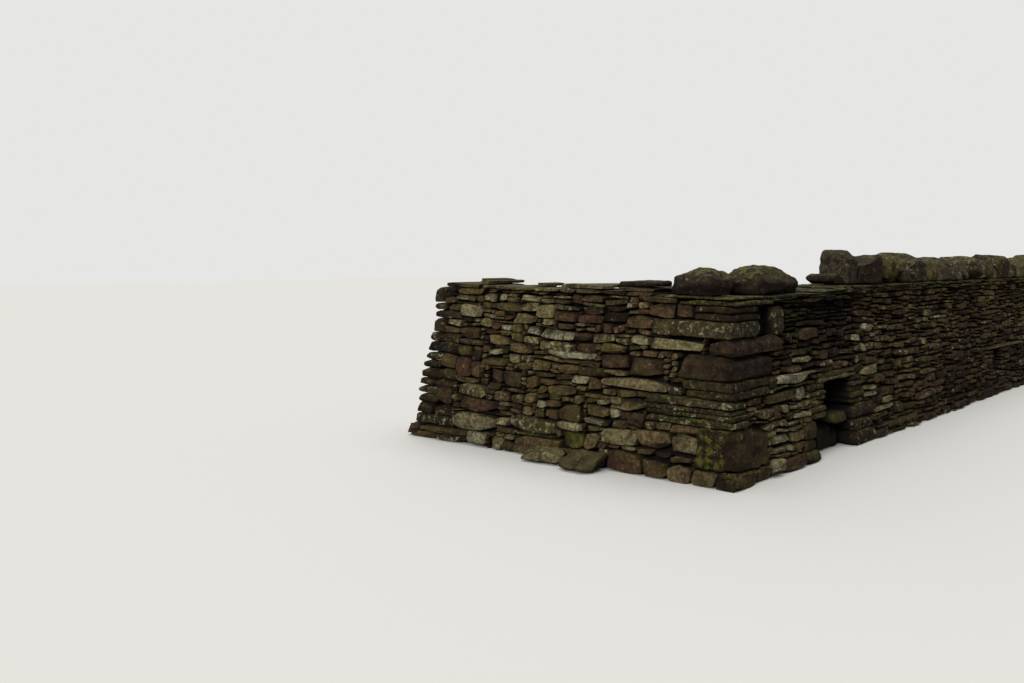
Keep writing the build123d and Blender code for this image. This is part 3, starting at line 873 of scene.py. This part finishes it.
class WALL_OT_creep_hole(bpy.types.Operator):
    """Build the creep hole: jambs on both faces, lintels over it and the stones that stop it"""

    bl_idname = "wall.creep_hole"
    bl_label = "Build the creep hole"

    def execute(self, context):
        rng = random.Random(context.scene.wall_sizes.seed + 30)
        for node, layer, tones in (("jambs_lower", 0.09, [0.5, 0.4, 0.1, 0.15]),
                                   ("jambs_upper", 0.045, [0.75, 0.5, 0.6, 0.5]),
                                   ("hole_lintels", 0.036, [0.8, 0.4, 0.5])):
            # Painted shade: the jambs and lintels darken within a few centimetres behind the face, so the
            # hole's reveals read dark
            big_stones(node, rng, tones, 0.3, 0.2, QUOIN, "large_stone", shade=0.97, reach=0.05,
                       layer=layer, slide=0.012, gap=0.002, bite=0.3, relief=0.011, grit=0.0175, wear=1)
        work = Stonework()
        for number, solid in enumerate(solids("hole_stoppers")):
            # The second one is the slab across the others, which is broken short and thin
            slab = number == 1
            cuts = [((JOINT_X - 0.40, 0, 0), (-1, 0, 0.3)), ((0, 0, 0.285), (0, 0, 1))] if slab else []
            points, faces = weather(solid, rng, cuts=cuts, bite=0.35, grit=0.014)
            # Painted shade: the stoppers darken the further they lie inside the hole, and the stones under
            # the slab get a dark tone for the shade below it
            deep = 0.85 * smooth_step(depth_inside(points), 0.0, 0.18)
            work.add(points, faces, 0.8 if slab else 0.1, 0.15, 0.2, deep)
        work.build("hole_stoppers_stones", ["hole_stoppers"], QUOIN, "loose_stone", BIG_EDGE)
        return {"FINISHED"}


class WALL_OT_heads(bpy.types.Operator):
    """Build the two ends of the wall, and lay the through stones"""

    bl_idname = "wall.heads"
    bl_label = "Build the ends and throughs"

    def execute(self, context):
        rng = random.Random(context.scene.wall_sizes.seed + 40)
        for node, across in (("gate_head_runners", 1), ("gate_head_ties", None),
                             ("far_head_runners", 0), ("far_head_ties", None)):
            big_stones(node, rng, [0.35, 0.6, 0.2, 0.75, 0.5], 0.3, 0.1, QUOIN, "quoin_stone",
                       layer=0.085, across=across, slide=0.012, gap=0.003, bite=0.36, relief=0.011,
                       grit=0.019, wear=1)
        for node in ("throughs_front", "throughs_long"):
            big_stones(node, rng, [0.5, 0.3, 0.7, 0.2], 0.3, 0.1, QUOIN, "flag_stone", bite=0.4,
                       grit=0.016)
        return {"FINISHED"}


def flag_course(work, rng, low, high, axis, layer, stone, ragged, overhang=0.018):
    """Fills the room of a flag with thinner, shorter flags laid in layers across the wall. Ragged is the
    share of the top layer that is gone."""
    layers = max(1, round((high[2] - low[2]) / layer))
    rise = (high[2] - low[2]) / layers
    other = 1 - axis
    axes = [(1, 0, 0), (0, 1, 0), (0, 0, 1)] if axis == 0 else [(0, 1, 0), (-1, 0, 0), (0, 0, 1)]
    more_moss = 0.15 if axis == 0 else -0.25
    for number in range(layers):
        for place, length in runs(rng, low[axis], high[axis], *stone, stone[0] * 0.6):
            parting = rng.uniform(0.38, 0.62) if rng.random() < 0.6 else 1.0
            edges = [low[other] - rng.uniform(-overhang, overhang)]
            if parting < 1:
                edges.append(low[other] + (high[other] - low[other]) * parting)
            edges.append(high[other] + rng.uniform(-overhang, overhang))
            for near, far in zip(edges, edges[1:]):
                if number == layers - 1 and rng.random() < ragged:
                    continue
                thick = rise * rng.uniform(0.85, 1.15)
                centre = np.zeros(3)
                centre[axis], centre[other] = place + length / 2, (near + far) / 2
                centre[2] = low[2] + rise * (number + 0.5)
                size = (length - 0.006, far - near - 0.006, thick - 0.003)
                points, faces = lay(rng, "flag", centre, axes, size, rng.gauss(0, 0.025),
                                    rng.gauss(0, 0.06))
                tone, lichen, moss = character(rng, centre)
                work.add(points, faces, tone, lichen - 0.05, moss + more_moss)


class WALL_OT_flags(bpy.types.Operator):
    """Lay the flags that level the top of both arms, and the flat block left on them"""

    bl_idname = "wall.flags"
    bl_label = "Lay the flags"

    def execute(self, context):
        rng = random.Random(context.scene.wall_sizes.seed + 50)
        for node, axis, layer, stone, ragged in (("top_flags_front", 1, 0.034, (0.1, 0.36), 0.4),
                                                 ("top_flags_corner", 0, 0.032, (0.2, 0.55), 0.0),
                                                 ("cover_long", 0, 0.03, (0.16, 0.5), 0.0)):
            work = Stonework()
            for low, high in boxes(node):
                flag_course(work, rng, low, high, axis, layer, stone, ragged)
            if node == "top_flags_front":
                # Thin stones under the boulder's side, between these flags and the corner's
                low, high = (np.array(corner) for corner in boxes(node)[0])
                high[1], low[1] = low[1] - 0.004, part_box("corner_flag")[1].y - 0.01
                high[2] = low[2] + 0.018
                flag_course(work, rng, low, high, 0, layer, (0.12, 0.25), 0.0)
            work.build(node + "_stones", [node], FLAG, "flag_stone")
        big_stones("flat_block", rng, [0.4], 0.1, -0.5, QUOIN, "loose_stone", bite=0.4, relief=0.006,
                   grit=0.011, wear=1)
        return {"FINISHED"}


class WALL_OT_cope(bpy.types.Operator):
    """Stand the cope stones on edge, and set the end block and the tilted stone"""

    bl_idname = "wall.cope"
    bl_label = "Stand the cope"

    def execute(self, context):
        rng = random.Random(context.scene.wall_sizes.seed + 60)
        big_stones("cope_end_block", rng, [0.7], 0.25, 0.1, COPE, "mossy_stone", chips=7, bite=0.2,
                   relief=0.012, grit=0.014)
        for node in ("cope_bay_2", "cope_bay_3", "cope_bay_4", "cope_bay_5"):
            tones = [rng.random() for stone in range(9)]
            big_stones(node, rng, tones, 0.3, 0.1, COPE, "mossy_stone", gap=0.008, chips=18, bite=0.36,
                       relief=0.013, grit=0.0125, wear=1)
        big_stones("tilted_stone", rng, [0.1], 0.1, 0.2, COPE, "loose_stone", bite=0.4, grit=0.012)
        return {"FINISHED"}


class WALL_OT_boulders(bpy.types.Operator):
    """Lay the two mossy boulders on the corner and lean the fallen slabs on the foot"""

    bl_idname = "wall.boulders"
    bl_label = "Lay the boulders"

    def execute(self, context):
        rng = random.Random(context.scene.wall_sizes.seed + 70)
        for node in ("cope_boulder_front", "cope_boulder_return"):
            work = Stonework()
            solid = solids(node)[0]
            top = ((0, 0, solid[0][:, 2].max() - 0.018), (0, 0, 1))
            points, faces = weather(solid, rng, gap=0.0, chips=22, bite=0.3, relief=0.02, cuts=[top],
                                    grit=0.012, wear=1)
            middle = solid[0][:, :2].mean(axis=0)
            points[:, :2] = middle + 0.95 * (points[:, :2] - middle)
            rise = (points[:, 2] - points[:, 2].min()) / np.ptp(points[:, 2])
            # Painted shade: each boulder darkens towards its underside; moss holds on its top
            work.add(points, faces, 0.30, 0.2, 1.1 * rise - 0.5, 0.8 - 0.8 * smooth_step(rise, 0.0, 0.7))
            work.build(node + "_stones", [node], QUOIN, "mossy_stone", BIG_EDGE)
        big_stones("foot_slabs", rng, [0.85, 0.95], 0.3, -0.4, QUOIN, "loose_stone", gap=0.012, chips=9,
                   bite=0.4, relief=0.012, grit=0.011, wear=1)
        return {"FINISHED"}


# ---- materials


def linear(code):
    """A colour from its sRGB hex code, as shaders need it."""
    parts = [int(code[place:place + 2], 16) / 255 for place in (1, 3, 5)]
    return (*[part / 12.92 if part < 0.04045 else ((part + 0.055) / 1.055) ** 2.4 for part in parts], 1)


def add_node(tree, kind, inputs=(), stops=(), output=0, **settings):
    """Adds a shader node, sets what it is, fills or links its inputs, and returns one of its outputs."""
    made = tree.nodes.new("ShaderNode" + kind)
    for key, value in settings.items():
        setattr(made, key, value)
    for place, (position, colour) in enumerate(stops):
        ramp = made.color_ramp.elements
        stop = ramp[place] if place < 2 else ramp.new(position)
        stop.position, stop.color = position, linear(colour)
    for socket, value in dict(inputs).items():
        if isinstance(value, bpy.types.NodeSocket):
            tree.links.new(value, made.inputs[socket])
        else:
            made.inputs[socket].default_value = value
    return made.outputs[output] if made.outputs else None


def empty_tree(owner):
    """The node tree of a new material or world, with nothing in it."""
    owner.use_nodes = True
    owner.node_tree.nodes.clear()
    return owner.node_tree


def show_and_light(owner, kind, shown, lighting, output):
    """Gives a material or world one look to the camera and another to the light that it sends out."""
    tree = empty_tree(owner)
    sight = add_node(tree, "LightPath", output="Is Camera Ray")
    dull, pale = add_node(tree, kind, lighting), add_node(tree, kind, shown)
    mixed = add_node(tree, "MixShader", {0: sight, 1: dull, 2: pale})
    add_node(tree, output, {"Surface": mixed})


def stone_material(name, tones, lichen, lichen_cover, moss, moss_cover, damp, stained):
    """Weathered stone: its own tone, bedding, grain, crusts of lichen, moss where it can hold, and dirt
    with painted shade in the joints and hollows. Broken stone scatters light widely, so it has no sheen to
    speak of."""
    material = bpy.data.materials.new(name)
    tree = empty_tree(material)
    place = add_node(tree, "TexCoord", output="Object")
    level = add_node(tree, "SeparateXYZ", {0: place}, output="Z")
    normal = add_node(tree, "NewGeometry", output="Normal")
    up = add_node(tree, "SeparateXYZ", {0: normal}, output="Z")
    trait = {word: add_node(tree, "Attribute", output="Fac", attribute_name=word) for word in TRAITS}
    stops = [(index / (len(tones) - 1), tone) for index, tone in enumerate(tones)]
    base = add_node(tree, "ValToRGB", {"Fac": trait["tone"]}, stops)

    # Every stone sees its own part of each pattern, so that none runs on over a joint
    shift = add_node(tree, "VectorMath", {0: (17.0, 31.0, 53.0), "Scale": trait["tone"]},
                     operation="SCALE")
    own = add_node(tree, "VectorMath", {0: place, 1: shift}, operation="ADD")
    bedded = add_node(tree, "Mapping", {"Vector": own, "Scale": (7.0, 7.0, 75.0)})

    # The patterns, by how many there are to a metre. Grain and tufts are drawn coarser than they are, so
    # that they show
    noise = {}
    for word, where, scale, detail, roughness in (
        ("stain", own, 11.0, 4.0, 0.6),  # a hand across
        ("beds", bedded, 1.0, 5.0, 0.65),  # 13 mm thick and a hand long
        ("grain", own, 150.0, 3.0, 0.7),
        ("mottle", own, 38.0, 3.0, 0.55),  # weathering in thumb-sized spots
        ("part", place, 1.1, 3.0, 0.6),  # drier and wetter parts of the wall, a stride across
        ("film", own, 5.0, 5.0, 0.65),  # algae, two hands across
        ("crust", own, 26.0, 6.0, 0.68),  # lichen, a finger or two across
        ("speck", own, 55.0, 4.0, 0.7),
        ("cushion", place, 17.0, 6.0, 0.7),  # moss, a palm across
        ("tuft", place, 90.0, 4.0, 0.75),
    ):
        noise[word] = add_node(tree, "TexNoise", {
            "Vector": where, "Scale": scale, "Detail": detail, "Roughness": roughness})

    # How each pattern lightens and darkens the stone; the last darkens the wall towards its foot, splashed
    # mud together with painted shade
    light = 1.0
    for pattern, low, high, dark, bright in (
        (noise["stain"], 0.3, 0.7, stained, 1.35), (noise["beds"], 0.3, 0.7, 0.78, 1.2),
        (noise["grain"], 0.25, 0.75, 0.8, 1.2), (noise["mottle"], 0.38, 0.62, 0.55, 1.45),
        (noise["part"], 0.38, 0.62, 0.78, 1.18), (level, 0.0, 0.3, 0.74, 1.0),
    ):
        share = add_node(tree, "MapRange", {
            "Value": pattern, "From Min": low, "From Max": high, "To Min": dark, "To Max": bright})
        light = add_node(tree, "Math", {0: light, 1: share}, operation="MULTIPLY")
    colour = add_node(tree, "VectorMath", {0: base, "Scale": light}, operation="SCALE")

    # Algae where the wall is damp. Lichen and moss where the stone's own share of them says, and moss
    # more on what faces up, on ledges and tops
    ledge = add_node(tree, "Math", {0: up, 1: 0.7, 2: trait["moss"]}, operation="MULTIPLY_ADD")
    cover = []
    for held, weight, least, pattern, low, high, most in (
        (noise["part"], 0.8, 0.0, noise["film"], 0.88, 1.12, damp),
        (trait["lichen"], 0.24, lichen_cover - 0.70, noise["crust"], 0.0, 0.12, 0.8),
        (ledge, 0.22, moss_cover - 0.68, noise["cushion"], 0.0, 0.08, 0.95),
    ):
        reach = add_node(tree, "Math", {0: held, 1: weight, 2: least}, operation="MULTIPLY_ADD")
        reach = add_node(tree, "Math", {0: pattern, 1: reach}, operation="ADD")
        cover.append(add_node(
            tree, "MapRange", {"Value": reach, "From Min": low, "From Max": high, "To Max": most}))
    film, crust, cushion = cover

    # Small specks of lichen round the crusts, on the paler stains
    speck = add_node(tree, "MapRange", {
        "Value": noise["speck"], "From Min": 0.60, "From Max": 0.66, "To Max": 1.0})
    near = add_node(tree, "MapRange", {
        "Value": noise["stain"], "From Min": 0.5, "From Max": 0.62, "To Max": 0.7})
    speck = add_node(tree, "Math", {0: speck, 1: near}, operation="MULTIPLY")
    crust = add_node(tree, "Math", {0: crust, 1: speck}, operation="MAXIMUM")

    # One over the other: algae, lichen, moss, then dirt and shade deep in the joints
    pale = add_node(tree, "Mix", {0: noise["grain"], 6: linear(lichen), 7: linear("#7d7a58")},
                    output=2, data_type="RGBA")
    green = add_node(tree, "ValToRGB", {"Fac": noise["tuft"]},
                     [(0.3, "#1f200b"), (0.75, "#636129"), (0.52, moss)])
    for share, coat in ((film, linear("#4f4a22")), (crust, pale), (cushion, green),
                        (trait["deep"], linear("#120e0a"))):
        colour = add_node(tree, "Mix", {0: share, 6: colour, 7: coat}, output=2, data_type="RGBA")

    # Relief of the stone and its crusts, and the soft pile of the moss
    pile = add_node(tree, "Math", {0: noise["tuft"], 1: 1.1, 2: 0.9}, operation="MULTIPLY_ADD")
    height = noise["beds"]
    for pattern, weight in ((noise["stain"], 2.2), (noise["grain"], 0.16), (crust, 0.18),
                            (cushion, pile)):
        height = add_node(tree, "Math", {0: pattern, 1: weight, 2: height}, operation="MULTIPLY_ADD")
    bump = add_node(tree, "Bump", {"Height": height, "Strength": 0.9, "Distance": 0.009})
    rough = add_node(tree, "MapRange", {"Value": noise["beds"], "To Min": 0.78, "To Max": 0.97})
    shader = add_node(tree, "BsdfPrincipled", {
        "Base Color": colour, "Roughness": rough, "Normal": bump, "IOR": 1.5,
        "Specular IOR Level": 0.15})
    add_node(tree, "OutputMaterial", {"Surface": shader})


class WALL_OT_materials(bpy.types.Operator):
    """Make the stone materials"""

    bl_idname = "wall.materials"
    bl_label = "Make the materials"

    def execute(self, context):
        colours = context.scene.wall_colours
        for name, tones, lichen_cover, moss_cover, damp, stained in (
            # Fine sandstone from the field: browns, plum reds, olive greys and buffs
            (WALLING, "#1c120b #2d2015 #41301f #3d281d #4a3a23 #413822 #4e3b28 #5a4b31 #696044 #7d7860",
             0.02, 0.0, 0.5, 0.5),
            # The long corner stones: warmer, split along the bed, with more crust on them
            (QUOIN, "#140e09 #2b1d13 #2d2115 #2a2315 #3d3220 #554c33", 0.04, 0.02, 0.35, 0.34),
            # Thin flags, dark and damp, moss along their edges
            (FLAG, "#20170f #332618 #3f311f #372f1d #4c4028 #5f5434", 0.03, 0.02, 0.6, 0.5),
            # Coarse grit of the cope, weathered grey, green on top
            (COPE, "#221812 #2f231a #373023 #3f382a #4c4536", 0.04, 0.03, 0.8, 0.5),
        ):
            stone_material(name, tones.split(), colours.lichen, lichen_cover, colours.moss, moss_cover,
                           damp, stained)
        return {"FINISHED"}


# ---- stage


SKY_LIGHT = 0.38
# Each sun: where it shines from, how wide it is in degrees, and its strength
SUNS = [
    ("overhead", (0.15, 0.0, 1.0), 60.0, 1.7),
    ("front", (-11.5, -2.1, 4.9), 22.0, 2.25),
    ("back", (0.6, 0.7, 0.5), 50.0, 0.9),
]
# The photo's viewpoint: eye height, the corner towards it, the head tipped down and a little over
EYE, VIEW = (-6.18, -3.26, 1.5), (0.777, 0.629)
TIPPED_DOWN, TIPPED_OVER = math.radians(5.19), math.radians(1.0)
SENSOR, LENS = 36.0, 36.2


class WALL_OT_stage(bpy.types.Operator):
    """Lay the pale floor and set the soft light and the camera"""

    bl_idname = "wall.stage"
    bl_label = "Set the stage"

    def execute(self, context):
        scene = context.scene
        bpy.ops.mesh.primitive_plane_add(size=60, location=(4, 1, -0.002))
        floor = context.object
        floor.name = "floor"
        only(floor)
        bpy.ops.object.transform_apply(location=True)
        paint = bpy.data.materials.new("Matt studio floor")
        # Pale to the eye, but it throws back no more light than trodden ground does
        show_and_light(paint, "BsdfDiffuse", {"Color": linear(scene.wall_colours.floor)},
                       {"Color": linear("#6e6a62")}, "OutputMaterial")
        floor.data.materials.append(paint)
        scene.world = bpy.data.worlds.new("Soft sky")
        show_and_light(scene.world, "Background", {"Color": linear("#e6e6e4"), "Strength": 1.0},
                       {"Color": linear("#ffffff"), "Strength": SKY_LIGHT}, "OutputWorld")
        for name, place, softness, power in SUNS:
            lamp = bpy.data.lights.new(name, "SUN")
            lamp.angle, lamp.energy = math.radians(softness), power
            holder = bpy.data.objects.new(name, lamp)
            holder.rotation_euler = (-Vector(place)).to_track_quat("-Z", "Y").to_euler()
            scene.collection.objects.link(holder)

        camera = bpy.data.cameras.new("camera")
        camera.sensor_width, camera.lens = SENSOR, LENS
        holder = bpy.data.objects.new("camera", camera)
        scene.collection.objects.link(holder)
        look = Vector((*VIEW, -math.tan(TIPPED_DOWN))).normalized()
        turn = look.to_track_quat("-Z", "Y").to_matrix() @ Matrix.Rotation(TIPPED_OVER, 3, "Z")
        holder.matrix_world = Matrix.Translation(EYE) @ turn.to_4x4()
        scene.camera = holder
        scene.view_settings.view_transform = "Standard"
        return {"FINISHED"}


class WALL_PT_panel(bpy.types.Panel):
    """Lists the steps that dress the wall"""

    bl_idname = "WALL_PT_panel"
    bl_label = "Dry stone wall"
    bl_space_type = "VIEW_3D"
    bl_region_type = "UI"
    bl_category = "Stone wall"

    def draw(self, context):
        for group in (context.scene.wall_sizes, context.scene.wall_colours):
            for name in group.__annotations__:
                self.layout.prop(group, name)
        for step in STEPS:
            self.layout.operator(step.bl_idname)


STEPS = [WALL_OT_materials, WALL_OT_walling, WALL_OT_corner, WALL_OT_creep_hole, WALL_OT_heads,
         WALL_OT_flags, WALL_OT_cope, WALL_OT_boulders, WALL_OT_stage]
CLASSES = [WallSizes, WallColours, *STEPS, WALL_PT_panel]


def register():
    """Adds the sizes, colours, steps and panel."""
    for made in CLASSES:
        bpy.utils.register_class(made)
    bpy.types.Scene.wall_sizes = bpy.props.PointerProperty(type=WallSizes)
    bpy.types.Scene.wall_colours = bpy.props.PointerProperty(type=WallColours)


def unregister():
    """Takes them away again."""
    del bpy.types.Scene.wall_colours
    del bpy.types.Scene.wall_sizes
    for made in reversed(CLASSES):
        bpy.utils.unregister_class(made)


def main():
    """Dresses the wall from first to last."""
    ours = {*NODES.values(), *frame["bodies"].values()}
    for thing in list(bpy.data.objects):
        if thing not in ours:
            bpy.data.objects.remove(thing)
    register()
    bpy.ops.wall.materials()
    bpy.ops.wall.walling()
    bpy.ops.wall.corner()
    bpy.ops.wall.creep_hole()
    bpy.ops.wall.heads()
    bpy.ops.wall.flags()
    bpy.ops.wall.cope()
    bpy.ops.wall.boulders()
    bpy.ops.wall.stage()


if __name__ == "__main__":
    main()
